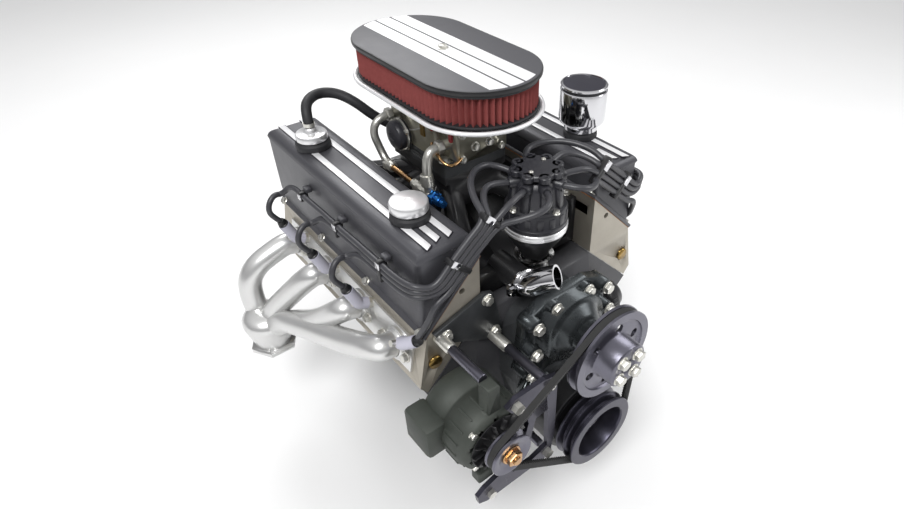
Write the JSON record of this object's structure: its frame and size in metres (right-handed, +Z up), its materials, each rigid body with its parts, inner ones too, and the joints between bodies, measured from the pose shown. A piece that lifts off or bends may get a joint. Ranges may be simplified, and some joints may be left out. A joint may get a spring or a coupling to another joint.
{
  "type": "v8 engine",
  "caption": "Dressed V-bank petrol crate engine with oval air cleaner, carburettor, distributor, belt drive, alternator and tubular exhaust headers.",
  "frame": {"origin": "on the crankshaft axis at the rear face of the block", "axes": "+Z up, -Y towards the belt drive at the front, +X towards the driver's side bank"},
  "size_m": [0.752, 0.7025, 0.7251],
  "materials": {
    "cast_block": "sand-cast, machined faces",
    "head_casting": "sand-cast aluminium",
    "satin_black": "satin charcoal powder coat",
    "gloss_black": "black paint",
    "violet_anodised": "hard anodised, turned",
    "polished": "polished",
    "silver_coat": "silver ceramic coat",
    "pump_casting": "dark cast aluminium",
    "alternator_case": "dark cast aluminium",
    "steel": "turned and ground",
    "zinc": "zinc plated",
    "brass": "pressed brass",
    "gasket": "cork and rubber",
    "rubber": "moulded rubber",
    "wire": "silicone jacket",
    "boot": "moulded ceramic-filled sleeve",
    "cap_plastic": "moulded cap",
    "loom_plastic": "moulded nylon",
    "filter": "oiled cotton pleats",
    "carb_alloy": "dichromate zinc casting"
  },
  "bodies": {
    "engine": {"air_cleaner_base": "silver_coat", "air_cleaner_lid": "satin_black", "air_cleaner_stud": "zinc", "air_filter_element": "filter", "alternator_bracket": "violet_anodised", "alternator_housing": "alternator_case", "bracket_bolts": "zinc", "bracket_standoffs": "zinc", "carburetor_body": "carb_alloy", "choke_housing": "gloss_black", "core_plugs": "brass", "cover_grommets": "rubber", "crankcase_valve": "polished", "cylinder_block": "cast_block", "cylinder_head_left": "head_casting", "cylinder_head_right": "head_casting", "distributor_cap": "cap_plastic", "distributor_housing": "pump_casting", "drive_belt": "rubber", "exhaust_header_left": "silver_coat", "exhaust_header_right": "silver_coat", "fuel_bowls": "carb_alloy", "fuel_line": "zinc", "fuel_pump": "gloss_black", "head_gaskets": "gasket", "ignition_wires_left": "wire", "ignition_wires_right": "wire", "intake_manifold": "gloss_black", "main_bearing_caps": "cast_block", "oil_filter": "gloss_black", "oil_pan": "gloss_black", "pcv_hose": "rubber", "pistons": "steel", "spark_plug_boots": "boot", "spark_plugs": "zinc", "thermostat_housing": "polished", "timing_chain": "steel", "timing_cover": "gloss_black", "valve_cover_gaskets": "gasket", "valve_cover_left": "satin_black", "valve_cover_right": "satin_black", "water_pump_housing": "pump_casting", "wire_looms": "loom_plastic"},
    "crank_train": {"crankshaft": "steel", "harmonic_damper": "gloss_black", "crank_pulley": "violet_anodised", "crankshaft_bolt": "zinc"},
    "cam_train": {"camshaft": "steel", "cam_sprocket": "steel"},
    "distributor_rotor": {"distributor_shaft": "steel"},
    "water_pump_rotor": {"water_pump_shaft": "steel", "water_pump_pulley": "violet_anodised"},
    "alternator_rotor": {"alternator_shaft": "steel", "alternator_pulley": "steel"},
    "primary_throttle_shaft": {"primary_throttle": "steel"},
    "secondary_throttle_shaft": {"secondary_throttle": "steel"},
    "choke_shaft": {"choke_plate": "steel"},
    "filler_cap": {"oil_filler_cap": "polished"},
    "breather_cap": {"crankcase_breather": "polished"}
  },
  "joints": [
    {"name": "crank_spin", "type": "hinge", "parent": "engine", "child": "crank_train", "pos_m": [0, -0.3, 0], "axis": [0, 1, 0], "continuous": true},
    {"name": "cam_spin", "type": "hinge", "parent": "engine", "child": "cam_train", "pos_m": [0, -0.3, 0.126], "axis": [0, 1, 0], "continuous": true},
    {"name": "distributor_spin", "type": "hinge", "parent": "engine", "child": "distributor_rotor", "pos_m": [0, -0.472, 0.3], "axis": [0, 0, 1], "continuous": true},
    {"name": "water_pump_spin", "type": "hinge", "parent": "engine", "child": "water_pump_rotor", "pos_m": [0, -0.6, 0.189], "axis": [0, 1, 0], "continuous": true},
    {"name": "alternator_spin", "type": "hinge", "parent": "engine", "child": "alternator_rotor", "pos_m": [-0.196, -0.6, 0.118], "axis": [0, 1, 0], "continuous": true},
    {"name": "primary_throttle_turn", "type": "hinge", "parent": "engine", "child": "primary_throttle_shaft", "pos_m": [0, -0.2805, 0.376], "axis": [-1, 0, 0], "range_deg": [0, 75], "stiffness_Nm_per_rad": 0.02, "springref_deg": -11.46},
    {"name": "secondary_throttle_turn", "type": "hinge", "parent": "engine", "child": "secondary_throttle_shaft", "pos_m": [0, -0.2245, 0.376], "axis": [-1, 0, 0], "range_deg": [0, 75]},
    {"name": "choke_turn", "type": "hinge", "parent": "engine", "child": "choke_shaft", "pos_m": [0, -0.2805, 0.442], "axis": [1, 0, 0], "range_deg": [0, 80]},
    {"name": "filler_cap_lift", "type": "slide", "parent": "engine", "child": "filler_cap", "axis": [0, 0, 1], "range_m": [0, 0.03]},
    {"name": "breather_lift", "type": "slide", "parent": "engine", "child": "breather_cap", "axis": [0, 0, 1], "range_m": [0, 0.03]}
  ],
  "couplings": [
    {"joint": "cam_spin", "follows": "crank_spin", "ratio": 0.5},
    {"joint": "distributor_spin", "follows": "crank_spin", "ratio": -0.5},
    {"joint": "water_pump_spin", "follows": "crank_spin", "ratio": 0.9085},
    {"joint": "alternator_spin", "follows": "crank_spin", "ratio": 1.9857},
    {"joint": "secondary_throttle_turn", "follows": "primary_throttle_turn", "ratio": 1}
  ]
}
